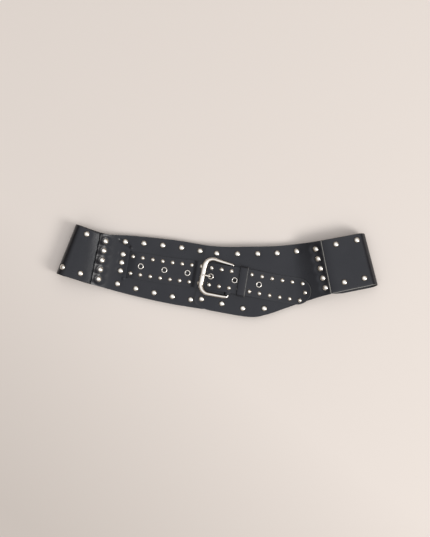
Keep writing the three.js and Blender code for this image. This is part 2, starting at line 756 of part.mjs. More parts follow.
const slot = new THREE.BoxGeometry(slotLength, prongEyeWidth + 4 * seat, 8 * heelBar);
slot.rotateZ(degToRad(buckleTurn));
const slotAt = bucklePoint(heelReach, 0, heelHeight);
slot.translate(slotAt.x, slotAt.y, slotAt.z);
const tabRivets = [1, -1].map((edge) =>
  bucklePoint(heelReach + tabLength - tabRivetInset, edge * tabRivetSpread, 2 * between),
);
const tabDepth = 2 * between + leather;
const tabHoles = tabRivets.map((at) => postHole(at, vec(0, 0, 1), tabDepth));
const tabProfile = studProfile(tabDepth, backRadius, backHeight);
for (const [i, at] of tabRivets.entries()) {
  const base = at.clone().setZ(at.z + seat);
  add(`tab_rivet_${i + 1}`, turned(tabProfile, smallSides, base, vec(0, 0, 1)), "nickel");
}
add("buckle_tab", cut(loft(tabRings()), [slot, ...tabHoles]), "leather");
add("keeper", loft(keeperRings(), true), "leather");

add("left_front_panel", cut(leftPanel(), [slit, ...holes.left]), "leather");
add("right_front_panel", cut(rightPanel(), [...holes.right, ...tabHoles]), "leather");

const strapSolid = coneStuds().reduce((solid, stud) => solid.add(solidOf(stud)), solidOf(strapBody()));
const strapHoled = holes.strap.reduce((solid, tool) => solid.subtract(solidOf(tool)), strapSolid);
add("strap", geometryOf(strapHoled), "strap");

// The origin is under the middle of the belt, at the level that it lies on.
const box = new THREE.Box3().setFromObject(belt);
const middle = box.getCenter(new THREE.Vector3());
belt.position.set(-middle.x, -middle.y, -box.min.z);

const part = new THREE.Group();
part.add(belt);
export default part;
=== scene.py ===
# Studded hip belt: leather, studs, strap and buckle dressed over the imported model
import bisect
import math
import bmesh
import bpy
from mathutils import Matrix, Vector, noise


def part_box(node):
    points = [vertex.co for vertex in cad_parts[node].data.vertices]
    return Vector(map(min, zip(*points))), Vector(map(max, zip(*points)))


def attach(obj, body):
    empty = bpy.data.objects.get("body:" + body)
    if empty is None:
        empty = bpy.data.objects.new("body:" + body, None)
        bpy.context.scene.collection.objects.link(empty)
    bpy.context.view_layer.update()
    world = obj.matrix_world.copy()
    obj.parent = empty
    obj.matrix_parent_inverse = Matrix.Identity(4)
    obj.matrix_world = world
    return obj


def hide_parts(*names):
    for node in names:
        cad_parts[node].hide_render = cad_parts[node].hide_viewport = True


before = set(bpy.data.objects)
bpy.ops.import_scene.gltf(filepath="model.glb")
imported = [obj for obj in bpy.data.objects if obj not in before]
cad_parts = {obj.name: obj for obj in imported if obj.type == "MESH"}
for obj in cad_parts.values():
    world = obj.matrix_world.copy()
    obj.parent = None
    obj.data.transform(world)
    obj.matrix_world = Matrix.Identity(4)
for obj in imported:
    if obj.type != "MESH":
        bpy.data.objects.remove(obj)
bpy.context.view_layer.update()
mm = 0.001

# how the belt lies, in millimetres: stations run along the front from the left fold
belt = {
    "frontSpan": 402, "wingWidth": 70, "foldHeight": 22, "leather": 2, "seat": 0.3, "restGap": 1.6,
    "leftWing": 42.3, "rightWing": 61.8, "wingTuck": 16,
    "leftFlat": 18, "leftRun": 56, "rightFlat": 50, "rightRun": 55,
    "lapStation": 180, "lapLength": 52, "dropRun": 45, "lapEase": 30,
}
sections = [
    # along, offset, lean in degrees, above, below: shares of the span and the width
    (0, 0.414, 21.9, 0.5, 0.5),
    (0.0998, 0.223, 11.6, 0.486, 0.486),
    (0.2015, 0.121, 9.1, 0.546, 0.553),
    (0.341, 0.004, 9.1, 0.579, 0.62),
    (0.4736, -0.114, 9.1, 0.581, 0.63),
    (0.6045, -0.239, 4, 0.695, 0.635),
    (0.6592, -0.207, 1, 0.665, 0.623),
    (0.7189, -0.129, -2, 0.605, 0.577),
    (0.7886, -0.021, -6.5, 0.542, 0.536),
    (0.8495, 0.063, -11, 0.51, 0.51),
    (1, 0.236, -14.4, 0.5, 0.5),
]
width = belt["wingWidth"]
knots = [
    ((along - 0.5) * belt["frontSpan"], offset * width, math.radians(lean), above * width, below * width)
    for along, offset, lean, above, below in sections
]


def lerp(a, b, share):
    return a + (b - a) * share


def smooth(value, low, high):
    share = min(1, max(0, (value - low) / (high - low)))
    return share * share * (3 - 2 * share)


def heading(degrees):
    return math.cos(math.radians(degrees)), math.sin(math.radians(degrees))


def knotCurve(share):
    # a smooth curve through the sections, evenly spaced by section
    span = (len(knots) - 1) * share
    i = min(int(span), len(knots) - 2)
    w = span - i
    p1, p2 = knots[i], knots[i + 1]
    p0 = knots[i - 1] if i else [2 * a - b for a, b in zip(p1, p2)]
    p3 = knots[i + 2] if i + 2 < len(knots) else [2 * b - a for a, b in zip(p1, p2)]
    point = []
    for a, b, c, d in zip(p0, p1, p2, p3):
        t0, t1 = (c - a) / 2, (d - b) / 2
        cube, square = 2 * b - 2 * c + t0 + t1, 3 * c - 3 * b - 2 * t0 - t1
        point.append(cube * w**3 + square * w * w + t0 * w + b)
    return point


spineSteps = 3000
searchRounds, searchClose = 12, 1e-4
spine = [knotCurve(i / spineSteps) for i in range(spineSteps + 1)]
reach = [0]
for a, b in zip(spine, spine[1:]):
    reach.append(reach[-1] + math.hypot(b[0] - a[0], b[1] - a[1]))
front = reach[-1]


def ruling(station):
    # the line across the belt: middle, direction across and along, half widths
    station = min(front, max(0, station))
    i = min(len(reach) - 2, max(0, bisect.bisect_right(reach, station) - 1))
    share = (station - reach[i]) / (reach[i + 1] - reach[i])
    x, y, lean, above, below = (lerp(a, b, share) for a, b in zip(spine[i], spine[i + 1]))
    across = (math.sin(lean), math.cos(lean))
    return x, y, across, (across[1], -across[0]), above, below


def planPoint(station, side):
    x, y, across = ruling(station)[:3]
    return x + across[0] * side, y + across[1] * side


def stationOf(x, y):
    station = (x / belt["frontSpan"] + 0.5) * front
    for i in range(searchRounds):
        cx, cy, across, along = ruling(station)[:4]
        step = (x - cx) * along[0] + (y - cy) * along[1]
        station = min(front, max(0, station + step))
        if abs(step) < searchClose:
            break
    return station


leather, seat = belt["leather"], belt["seat"]
layerStep = leather + seat
foldRadius = belt["foldHeight"] / 2
leftSeam, rightSeam = belt["leftWing"], front - belt["rightWing"]
leftWingEnd, rightWingEnd = leftSeam + belt["wingTuck"], rightSeam - belt["wingTuck"]
lapStart = belt["lapStation"]
leftPanelEnd = lapStart + belt["lapLength"]
dropStart = leftPanelEnd + belt["lapEase"]


def restLevel(station):
    left = 1 - smooth(station, belt["leftFlat"], belt["leftFlat"] + belt["leftRun"])
    right = smooth(station, front - belt["rightFlat"] - belt["rightRun"], front - belt["rightFlat"])
    return lerp(leather + belt["restGap"], belt["foldHeight"] - leather, max(left, right))


def lapRise(station):
    return layerStep * (1 - smooth(station, dropStart, dropStart + belt["dropRun"]))


def wingTop(station):
    return restLevel(station) + leather


def leftTop(station):
    return restLevel(station) + layerStep + leather


def rightTop(station):
    return leftTop(station) + lapRise(station)


# the strap's own frame: run from the slit, side across
strap = {
    "width": 35, "wall": 2.2, "length": 244, "root": 17, "turn": -9.1, "slitStation": 83.9,
    "drift": 1.6, "sway": 1.5, "bowStart": 40, "bowEnd": 210, "bowRun": 65,
    "riseFrom": -10, "riseTo": 14, "lapClimb": 7.5, "lapLead": 2.2, "riseLead": 24, "riseTail": 72,
    "eyeletFirst": 17.3, "eyeletPitch": 31.7, "eyeletCount": 6,
}
buckle = {
    "turn": -12, "eyelet": 3, "barWidth": 7, "barHeight": 5.2, "railWidth": 4.8, "railTaper": 0.85,
    "heelBar": 3.5, "heelCorner": 2.3, "heelNeck": 1.9, "heelSlip": 2, "heelOver": 1.4, "neckFlat": 0.95,
    "reach": 14.4, "length": 41.5, "room": 3, "heelRoom": 0.9, "corner": 11, "lift": 2.8,
    "prongWidth": 2.7, "prongHeight": 2.4, "prongBend": 2.2, "prongSunk": 0.1, "eyeWidth": 4, "flat": 0.9,
    "heelSteps": 4, "railSteps": 8, "cornerSteps": 10, "heelShares": (-0.8, -0.4, 0, 0.4, 0.8),
    "eyeSteps": 14, "eyeFrom": -150, "eyeTo": 90, "tubeSides": 24, "prongSides": 20,
}
tab = {"wall": 1.5, "width": 28, "length": 32, "rivetInset": 3.6, "rivetSpread": 8, "corner": 1.6}
slitX, slitY = planPoint(strap["slitStation"], 0)
strapDir = heading(strap["turn"])


def strapPlan(run, side):
    start, stop, length = strap["bowStart"], strap["bowEnd"], strap["bowRun"]
    bow = smooth(run, start, start + length) - smooth(run, stop - length, stop)
    run -= strap["drift"] * bow
    side += strap["sway"] * bow
    return slitX + strapDir[0] * run - strapDir[1] * side, slitY + strapDir[1] * run + strapDir[0] * side


prongRun = strap["eyeletFirst"] + buckle["eyelet"] * strap["eyeletPitch"]
heelReach = buckle["length"] - buckle["reach"] - buckle["heelBar"] / 2
stackTop = 2 * (seat + tab["wall"]) + seat + buckle["heelBar"]
lapX, lapY = planPoint(lapStart, 0)
lapRun = math.hypot(lapX - slitX, lapY - slitY)


def strapUnder(run, side):
    station = stationOf(*strapPlan(run, side))
    out = smooth(run, strap["riseFrom"], strap["riseTo"])
    top = leftTop(station)
    lapEnd = lapRun - strap["lapLead"]
    lap = lapRise(station) * smooth(run, lapEnd - strap["lapClimb"], lapEnd)
    heel = prongRun + heelReach
    climb = smooth(run, prongRun - strap["riseLead"], heel) - smooth(run, heel, heel + strap["riseTail"])
    return lerp(top - leather - seat - strap["wall"], top + seat, out) + lap + stackTop * climb


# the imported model's origin, read off the first eyelet
eyeletMiddle = [(a + b) / 2 / mm for a, b in zip(*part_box("eyelet_1"))]
eyeletX, eyeletY = strapPlan(strap["eyeletFirst"], 0)
shiftX, shiftY = eyeletMiddle[0] - eyeletX, eyeletMiddle[1] - eyeletY
print("front", round(front, 2), "shift", round(shiftX, 2), round(shiftY, 2))


def toWorld(x, y, z):
    return Vector(((x + shiftX) * mm, (y + shiftY) * mm, z * mm))


def onBelt(station, side, height):
    return toWorld(*planPoint(station, side), height)


def onStrap(run, side, lift=0):
    return toWorld(*strapPlan(run, side), strapUnder(run, side) + strap["wall"] + lift)


def normalOf(surface, along, side, stepAlong, stepAcross):
    run = surface(along + stepAlong, side) - surface(along - stepAlong, side)
    rise = surface(along, side + stepAcross) - surface(along, side - stepAcross)
    return run.cross(rise).normalized()


def strapNormal(run, side):
    return normalOf(onStrap, run, side, 1, 1)


# materials
def newMaterial(name):
    material = bpy.data.materials.new(name)
    material.use_nodes = True
    tree = material.node_tree
    place = tree.nodes.new("ShaderNodeTexCoord").outputs["Object"]
    return material, tree, tree.nodes["Principled BSDF"], place


def fillNode(tree, node, values, sources):
    # sets a node's values and links its sources
    for key, value in values.items():
        node.inputs[key].default_value = value
    for key, source in sources.items():
        tree.links.new(source, node.inputs[key])
    return node


def addNode(tree, kind, values, sources, out):
    return fillNode(tree, tree.nodes.new("ShaderNode" + kind), values, sources).outputs[out]


def noiseNode(tree, source, scale, detail, rough=0.5):
    values = {"Scale": scale, "Detail": detail, "Roughness": rough}
    return addNode(tree, "TexNoise", values, {"Vector": source}, "Fac")


def mapRange(tree, source, low, high, first=0, last=1):
    values = {"From Min": first, "From Max": last, "To Min": low, "To Max": high}
    return addNode(tree, "MapRange", values, {"Value": source}, "Result")


def bumpNode(tree, height, strength, distance, below=None):
    sources = {"Height": height, "Normal": below} if below else {"Height": height}
    return addNode(tree, "Bump", {"Strength": strength, "Distance": distance * mm}, sources, "Normal")


def ramp(tree, source, stops):
    node = tree.nodes.new("ShaderNodeValToRGB")
    elements = node.color_ramp.elements
    for i, (position, colour) in enumerate(stops):
        element = elements[i] if i < 2 else elements.new(position)
        element.position = position
        element.color = (*colour, 1)
    return fillNode(tree, node, {}, {"Fac": source}).outputs["Color"]


def wearAndLightPatch(tree, source, spread):
    # the paler rim along each cut, broken up by noise: rubbed wear, and a painted highlight where an edge
    # faces the light
    wear = tree.nodes.new("ShaderNodeAttribute")
    wear.attribute_name = "wear"
    patch = tree.nodes.new("ShaderNodeMath")
    patch.operation = "MULTIPLY"
    patch.use_clamp = True
    tree.links.new(wear.outputs["Fac"], patch.inputs[0])
    tree.links.new(mapRange(tree, source, *spread), patch.inputs[1])
    return patch.outputs["Value"]


# each noise is scale, detail and roughness
leatherLook = {
    "dark": (0.0068, 0.0076, 0.0118), "light": (0.0105, 0.0113, 0.0158), "worn": (0.09, 0.088, 0.086),
    "tone": (38, 4), "toneStops": (0.33, 0.68), "patch": (190, 4, 0.6), "patchRange": (-0.35, 1.5),
    "gloss": (110, 3), "rough": (0.24, 0.34), "specular": 0.38,
    "pores": 1500, "poreDepth": 0.1, "crease": (240, 5, 0.6), "creaseDepth": 0.35, "bump": 0.3,
}


def leatherMaterial(name, shade=1.0):
    look = leatherLook
    material, tree, shader, place = newMaterial(name)
    colours = [tuple(c * shade for c in look[key]) for key in ("dark", "light")]
    body = ramp(tree, noiseNode(tree, place, *look["tone"]), zip(look["toneStops"], colours))
    # the pale rim colour is mixed in along the rims: rubbed wear, and a painted highlight on edges that
    # face the light
    worn = wearAndLightPatch(tree, noiseNode(tree, place, *look["patch"]), look["patchRange"])
    colour = addNode(tree, "MixRGB", {"Color2": (*look["worn"], 1)}, {"Fac": worn, "Color1": body}, "Color")
    rough = mapRange(tree, noiseNode(tree, place, *look["gloss"]), *look["rough"])
    pores = addNode(tree, "TexVoronoi", {"Scale": look["pores"]}, {"Vector": place}, "Distance")
    grain = bumpNode(tree, pores, look["bump"], look["poreDepth"])
    folds = noiseNode(tree, place, *look["crease"])
    crease = bumpNode(tree, folds, look["bump"], look["creaseDepth"], grain)
    sources = {"Base Color": colour, "Roughness": rough, "Normal": crease}
    fillNode(tree, shader, {"Specular IOR Level": look["specular"]}, sources)
    return material


edgeLook = {
    "dyed": (0.022, 0.022, 0.024), "bare": (0.3, 0.295, 0.28), "wearStops": (0.1, 0.95),
    "fibre": (900, 3), "patchRange": (0.8, 1.1), "rough": 0.55, "specular": 0.3, "bump": 0.4, "depth": 0.1,
}


def edgeMaterial(name):
    # the cut edge: matt and fibrous, dyed dark, and pale where it is worn and, as a painted highlight,
    # where it faces the light
    look = edgeLook
    material, tree, shader, place = newMaterial(name)
    fibre = noiseNode(tree, place, *look["fibre"])
    worn = wearAndLightPatch(tree, fibre, look["patchRange"])
    colour = ramp(tree, worn, zip(look["wearStops"], (look["dyed"], look["bare"])))
    values = {"Roughness": look["rough"], "Specular IOR Level": look["specular"]}
    normal = bumpNode(tree, fibre, look["bump"], look["depth"])
    fillNode(tree, shader, values, {"Base Color": colour, "Normal": normal})
    return material


nickelLook = {
    "tone": (420, 3), "toneStops": (0.3, 0.75), "dim": 0.94,
    "haze": (700, 4), "hammer": (260, 2), "bump": 0.2,
}


def nickelMaterial(name, colour, rough, wave):
    look = nickelLook
    material, tree, shader, place = newMaterial(name)
    dim = tuple(c * look["dim"] for c in colour)
    shades = ramp(tree, noiseNode(tree, place, *look["tone"]), zip(look["toneStops"], (dim, colour)))
    haze = mapRange(tree, noiseNode(tree, place, *look["haze"]), *rough)
    hammer = bumpNode(tree, noiseNode(tree, place, *look["hammer"]), look["bump"], wave)
    sources = {"Base Color": shades, "Roughness": haze, "Normal": hammer}
    fillNode(tree, shader, {"Metallic": 1}, sources)
    return material


panelLeather = leatherMaterial("panelLeather")
strapLeather = leatherMaterial("strapLeather", 1.03)
cutEdge = edgeMaterial("cutEdge")
studNickel = nickelMaterial("studNickel", (0.84, 0.81, 0.76), (0.18, 0.26), 0.05)
buckleNickel = nickelMaterial("buckleNickel", (0.74, 0.7, 0.645), (0.04, 0.09), 0.02)


# helpers for pieces
def meshOf(bm, name):
    mesh = bpy.data.meshes.new(name)
    bm.to_mesh(mesh)
    bm.free()
    return mesh


def addObject(name, data):
    thing = bpy.data.objects.new(name, data)
    bpy.context.scene.collection.objects.link(thing)
    return thing


def finishPiece(bm, name, materials, nodes):
    mesh = meshOf(bm, name)
    for material in materials:
        mesh.materials.append(material)
    mesh.shade_smooth()
    piece = addObject(name, mesh)
    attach(piece, "root")
    if nodes:
        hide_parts(*nodes)
    return piece


rimLook = {"segments": 3, "angle": 50, "wearReach": 0.8}
weld = 1e-6


def leatherPiece(bm, name, material, node, wall, rim):
    # the sheet is the outer face, so its highest part looks up
    bm.normal_update()
    if max(bm.faces, key=lambda face: face.calc_center_median().z).normal.z <= 0:
        bmesh.ops.reverse_faces(bm, faces=bm.faces[:])
    # the wall grows inwards, and its rounded rim is the cut edge
    piece = finishPiece(bm, name, [material, cutEdge], [node])
    solid = piece.modifiers.new("wall", "SOLIDIFY")
    solid.thickness = wall * mm
    solid.offset = -1
    solid.material_offset_rim = 1
    bevel = piece.modifiers.new("rim", "BEVEL")
    bevel.width = rim * mm
    bevel.segments = rimLook["segments"]
    bevel.profile = 0.5
    bevel.limit_method = "ANGLE"
    bevel.angle_limit = math.radians(rimLook["angle"])
    bevel.material = 1


def leatherSheet(columns, rows, size, shape, worn):
    # a grid laid by shape(share along, share across), with its rim marked by how worn it is and, on edges
    # that face the light, by a painted highlight
    bm = bmesh.new()
    bmesh.ops.create_grid(bm, x_segments=columns, y_segments=rows, size=0.5)
    wear = bm.verts.layers.float.new("wear")
    for vert in bm.verts:
        a, b = vert.co.x + 0.5, vert.co.y + 0.5
        edge = min(min(a, 1 - a) * size[0], min(b, 1 - b) * size[1])
        vert[wear] = worn(a, b) * math.exp(-edge / rimLook["wearReach"])
        vert.co = shape(a, b)
    return bm


def roundOff(radius, share):
    # how far a round corner draws in from its two sides, a share of the way round it
    angle = math.radians(90) * share
    return radius * (1 - math.sin(angle)), radius * (1 - math.cos(angle))


def cutOblong(bm, middle, direction, halfLength, halfWidth):
    # deletes the faces in an oblong that lies along the direction
    inside = []
    for face in bm.faces:
        offset = face.calc_center_median().xy - middle
        inLength = abs(offset.dot(Vector(direction))) < halfLength * mm
        if inLength and abs(offset.cross(Vector(direction))) < halfWidth * mm:
            inside.append(face)
    bmesh.ops.delete(bm, geom=inside, context="FACES")


def inSteps(count, stops):
    # where a column or row of a sheet falls, between stops of count and place
    for (first, low), (last, high) in zip(stops, stops[1:]):
        if count <= last:
            break
    return lerp(low, high, (count - first) / (last - first))


def rowSide(share, outer, middle, low, inner, high):
    # rows of a sheet that fall on the two sides of its slot
    rows = 2 * outer + middle
    return inSteps(share * rows, [(0, low), (outer, -inner), (outer + middle, inner), (rows, high)])


# large studs: where each one sits
studs = {
    "radius": 3.8, "height": 2.4, "segments": 32, "foot": 0.4,
    "postRadius": 1.2, "backRadius": 2, "backHeight": 0.7,
    "dent": 0.35, "seamDent": 1.1, "rootDent": 0.7, "dentReach": 3.9, "dentEnd": 2.4, "sink": 0.9,
    "columnCount": 5, "rootCount": 3,
    "seamInset": 8, "leftSeamPitch": 12.7,
    "rightSeamPitch": 13.1, "rightSeamSlant": 0.07, "rightSeamLead": 0.6,
    "rootPitch": 11, "rootOffset": 1, "liftRun": 4, "liftLeast": 0.45,
}
studRows = [
    # nodes, stretch, edge, first and last share of it, count, first and last inset
    ("left_wing_top_stud", "leftWing", 1, 0.516, 0.516, 1, 0.11, 0.11),
    ("left_wing_low_stud", "leftWing", -1, 0.6505, 0.1215, 2, 0.155, 0.155),
    ("left_top_stud", "left", 1, 0.2426, 0.9651, 5, 0.124, 0.124),
    ("left_low_stud", "left", -1, 0.2325, 0.9525, 5, 0.144, 0.144),
    ("right_top_stud", "right", 1, 0.1048, 0.7867, 5, 0.135, 0.135),
    ("right_low_stud", "right", -1, 0.0438, 0.5155, 4, 0.188, 0.131),
    ("right_wing_top_stud", "rightWing", 1, 0.314, 0.777, 2, 0.115, 0.115),
    ("right_wing_low_stud", "rightWing", -1, 0.3175, 0.7414, 2, 0.158, 0.158),
]
stretches = {
    "leftWing": ("wing", 0, leftSeam), "left": ("left", leftSeam, lapStart),
    "right": ("right", lapStart, rightSeam), "rightWing": ("wing", rightSeam, front),
}
layerTop = {"wing": wingTop, "left": leftTop, "right": rightTop}
twoWalls = 2 * leather + seat
studPlaces = []  # node, layer, station, side, thickness that it holds, dent
for name, stretch, edge, first, last, count, insetFirst, insetLast in studRows:
    layer, start, stop = stretches[stretch]
    for i in range(count):
        share = i / max(1, count - 1)
        station = lerp(start, stop, lerp(first, last, share))
        above, below = ruling(station)[4:]
        half = width / 2 if layer == "wing" else above if edge > 0 else below
        side = edge * (half - lerp(insetFirst, insetLast, share) * width)
        depth = twoWalls if layer == "right" and station < leftPanelEnd else leather
        node = f"{name}_{i + 1}" if count > 1 else name
        studPlaces.append((node, layer, station, side, depth, studs["dent"]))
for i in range(studs["columnCount"]):
    row = (studs["columnCount"] - 1) / 2 - i
    side = row * studs["leftSeamPitch"]
    station = leftSeam + studs["seamInset"]
    studPlaces.append((f"left_seam_rivet_{i + 1}", "left", station, side, twoWalls, studs["seamDent"]))
    side = row * studs["rightSeamPitch"]
    station = rightSeam - studs["seamInset"] + studs["rightSeamLead"] - side * studs["rightSeamSlant"]
    studPlaces.append((f"right_seam_rivet_{i + 1}", "right", station, side, twoWalls, studs["seamDent"]))
for i in range(studs["rootCount"]):
    row = (studs["rootCount"] - 1) / 2 - i
    x, y = strapPlan(-strap["root"] / 2, row * studs["rootPitch"] + studs["rootOffset"])
    station = stationOf(x, y)
    cx, cy, across = ruling(station)[:3]
    side = (x - cx) * across[0] + (y - cy) * across[1]
    depth = leather + seat + strap["wall"]
    studPlaces.append((f"strap_root_rivet_{i + 1}", "left", station, side, depth, studs["rootDent"]))


seatStep = (0.4, 1)  # distances at which a surface's direction is taken


def wingPoint(station, side):
    # the outer face of a wing, which turns down round the fold past one fold radius
    fromEnd = min(station, front - station)
    if fromEnd >= foldRadius:
        return onBelt(station, side, wingTop(station))
    angle = math.acos(max(-1, min(1, (foldRadius - fromEnd) / foldRadius)))
    return onBelt(station, side, foldRadius + foldRadius * math.sin(angle))


def facePoint(layer, station, side):
    return wingPoint(station, side) if layer == "wing" else onBelt(station, side, layerTop[layer](station))


def studSeat(layer, station, side):
    normal = normalOf(lambda along, across: facePoint(layer, along, across), station, side, *seatStep)
    return facePoint(layer, station, side), normal


dents = {"wing": [], "left": [], "right": []}
for node, layer, station, side, depth, hollow in studPlaces:
    mark = (facePoint(layer, station, side), hollow)
    dents[layer].append(mark)
    if depth == twoWalls:
        # the layer beneath is drawn down with it
        dents["wing" if "seam" in node else "left"].append(mark)


def dent(layer, point):
    # the leather is drawn down round each stud and lies level beneath it
    total = 0
    for at, hollow in dents[layer]:
        away = max(0, (point.xy - at.xy).length / mm - studs["radius"]) / studs["dentReach"]
        if away < studs["dentEnd"]:
            total += hollow * math.exp(-2 * away * away)
    return total


ripples = ((26, 0.22), (9, 0.05))  # sizes and heights of the leather's unevenness


def ripple(point, size, amount):
    return amount * noise.noise(Vector((point.x, point.y, 0.3)) / (size * mm))


def layLeather(point, layer, lift=0):
    height = lift - dent(layer, point)
    for size, amount in ripples:
        height += ripple(point, size, amount)
    point.z += height * mm
    return point


def seamLift(station, side, seam, pitch, amount):
    # a panel's end stands off the wing, most between its rivets
    near = math.exp(-abs(station - seam) / studs["liftRun"])
    between = 0.5 - 0.5 * math.cos(2 * math.pi * side / pitch)
    return amount * near * lerp(studs["liftLeast"], 1, between)


# back band: both wings, both folds and the hidden back, in one strip
back = {
    "columns": 500, "rows": 36, "slip": 3.8, "slipFrom": -9, "slipTo": 19, "rim": 0.7,
    "crease": 0.45, "creaseAngle": 128, "creaseSpread": 17,
    "worn": 0.12, "wornWing": 1, "wornUpper": 0.1, "wornRun": 12,
}
wingLeft, wingRight = leftWingEnd - foldRadius, front - foldRadius - rightWingEnd
arc = math.pi * foldRadius
backRun = front - 2 * foldRadius
bandLength = wingLeft + arc + backRun + arc + wingRight


def wingSheet(station, share):
    above, below = ruling(station)[4:]
    return layLeather(onBelt(station, lerp(-below, above, share), wingTop(station)), "wing")


def bandPoint(a, b):
    along, side = a * bandLength, lerp(-width / 2, width / 2, b)
    if along < wingLeft:
        return wingSheet(leftWingEnd - along, b)
    along -= wingLeft
    if along < arc:
        angle = along / foldRadius
        station = foldRadius - foldRadius * math.sin(angle)
        return onBelt(station, side, foldRadius + foldRadius * math.cos(angle))
    along -= arc
    if along < backRun:
        # the back slips down a little towards the right fold
        slip = back["slip"] * smooth(foldRadius + along - rightSeam, back["slipFrom"], back["slipTo"])
        return onBelt(foldRadius + along, side - slip, 0)
    along -= backRun
    if along < arc:
        angle = along / foldRadius
        slip = back["slip"] * (0.5 + 0.5 * math.cos(angle))
        fromCrease = (math.degrees(angle) - back["creaseAngle"]) / back["creaseSpread"]
        radius = foldRadius - back["crease"] * math.exp(-fromCrease * fromCrease)
        station = front - foldRadius + radius * math.sin(angle)
        return onBelt(station, side - slip, foldRadius - radius * math.cos(angle))
    return wingSheet(front - foldRadius - (along - arc), b)


def bandWornAndLit(a, b):
    # painted highlight: the right wing's lower edge is paler, as it faces the light; the rest has a light
    # rub
    wingStart = bandLength - wingRight
    onWing = smooth(a * bandLength, wingStart - back["wornRun"], wingStart)
    return lerp(back["worn"], back["wornWing"], onWing if b < 0.5 else back["wornUpper"] * onWing)


bm = leatherSheet(back["columns"], back["rows"], (bandLength, width), bandPoint, bandWornAndLit)
leatherPiece(bm, "backBand", panelLeather, "back_panel", leather, back["rim"])
print("back band done")

# left panel, with the slit that the strap comes up through
leftPanel = {
    "columns": 250, "outerRows": 28, "slitRows": 40, "tuck": 4, "edgeLift": 1.1, "rim": 0.6, "worn": 0.12,
    "slitLength": 2.6, "slitSide": 0.7, "slitColumns": 6, "lip": 0.2, "pucker": 1.1, "puckerReach": 1.8,
    "puckersAt": ((0.6, 4), (-3.2, -1.4)),
    "grooveDepth": 0.9, "grooveWidth": 1.9, "grooveEnds": ((-15, 12), (-2, 6)),
    "lipReach": 2.5, "lipSides": (15, 21), "tuckFrom": 8, "tuckTo": 26, "across": 80,
}
slitSide = strap["width"] / 2 + leftPanel["slitSide"]
slitFrom, slitTo = strap["slitStation"], strap["slitStation"] + leftPanel["slitLength"]
slitColumn = round(leftPanel["columns"] * (slitFrom - leftSeam) / (leftPanelEnd - leftSeam))
puckers = []
for run, past in leftPanel["puckersAt"]:
    puckers.append(toWorld(*strapPlan(run, math.copysign(slitSide, past) + past), 0))
grooveEnds = [toWorld(*strapPlan(run, slitSide + past), 0).xy for run, past in leftPanel["grooveEnds"]]


def leftStation(share):
    # columns fall on the two ends of the slit
    columns, pastSlit = leftPanel["columns"], slitColumn + leftPanel["slitColumns"]
    stops = [(0, leftSeam), (slitColumn, slitFrom), (pastSlit, slitTo), (columns, leftPanelEnd)]
    return inSteps(share * columns, stops)


def leftSide(station, share):
    # the hidden end is narrower
    above, below = ruling(station)[4:]
    past = station - lapStart
    tuck = leftPanel["tuck"] * smooth(past, leftPanel["tuckFrom"], leftPanel["tuckTo"])
    outer, middle = leftPanel["outerRows"], leftPanel["slitRows"]
    return rowSide(share, outer, middle, -below + tuck, slitSide, above - tuck)


def groove(point):
    # a soft crease from the first stud towards the slit's upper end
    start, end = grooveEnds
    run = end - start
    share = min(1, max(0, (point.xy - start).dot(run) / run.length_squared))
    away = (point.xy - start - run * share).length / mm / leftPanel["grooveWidth"]
    return leftPanel["grooveDepth"] * math.exp(-away * away)


def leftPanelPoint(a, b):
    station = leftStation(a)
    side = leftSide(station, b)
    point = onBelt(station, side, leftTop(station))
    lift = seamLift(station, side, leftSeam, studs["leftSeamPitch"], leftPanel["edgeLift"])
    for pucker in puckers:
        away = (point.xy - pucker.xy).length / mm / leftPanel["puckerReach"]
        lift += leftPanel["pucker"] * math.exp(-away * away)
    lift -= groove(point)
    if station <= slitFrom:
        # the strap pushes up the lip that it comes out from under
        near = math.exp((station - slitFrom) / leftPanel["lipReach"])
        lift += leftPanel["lip"] * near * (1 - smooth(abs(side), *leftPanel["lipSides"]))
    return layLeather(point, "left", lift)


rows = 2 * leftPanel["outerRows"] + leftPanel["slitRows"]
leftSize = (leftPanelEnd - leftSeam, leftPanel["across"])
bm = leatherSheet(leftPanel["columns"], rows, leftSize, leftPanelPoint, lambda a, b: leftPanel["worn"])
slitMiddle = toWorld(*strapPlan(leftPanel["slitLength"] / 2, 0), 0).xy
cutOblong(bm, slitMiddle, strapDir, leftPanel["slitLength"] / 2, slitSide)
leatherPiece(bm, "leftFrontPanel", panelLeather, "left_front_panel", leather, leftPanel["rim"])
print("left panel done")

# right panel: a slanted start with one rounded corner
rightPanel = {
    "columns": 180, "rows": 84, "cornerRows": 18, "cornerRun": 24, "cornerRise": 12, "skew": 2.6,
    "edgeLift": 0.7, "rim": 0.8, "across": 85, "worn": 0.12, "wornSeam": 0.95, "seamFade": 0.97,
    "wornCorner": 0.95, "cornerFade": (0.12, 0.3), "cornerFadeAlong": (0.05, 0.2),
}


def rightPanelPoint(a, b):
    row, cornerRows = b * rightPanel["rows"], rightPanel["cornerRows"]
    start, rise, share = lapStart, rightPanel["cornerRise"], 0
    if row <= cornerRows:
        inwards, upwards = roundOff(1, row / cornerRows)
        start += rightPanel["cornerRun"] * inwards
        rise *= upwards
    else:
        share = (row - cornerRows) / (rightPanel["rows"] - cornerRows)
    station = lerp(start + rightPanel["skew"] * (2 * b - 1), rightSeam, a)
    above, below = ruling(station)[4:]
    side = lerp(-below + rise, above, share)
    lift = seamLift(station, side, rightSeam, studs["rightSeamPitch"], rightPanel["edgeLift"])
    return layLeather(onBelt(station, side, rightTop(station)), "right", lift)


def rightPanelWornAndLit(a, b):
    # painted highlight: paler along the seam and round the corner, the edges that face the light; a light
    # rub elsewhere
    low = 1 - smooth(b, *rightPanel["cornerFade"])
    start = 1 - smooth(a, *rightPanel["cornerFadeAlong"])
    seamEdge = rightPanel["wornSeam"] * smooth(a, rightPanel["seamFade"], 1)
    return max(rightPanel["worn"], rightPanel["wornCorner"] * low * start, seamEdge)


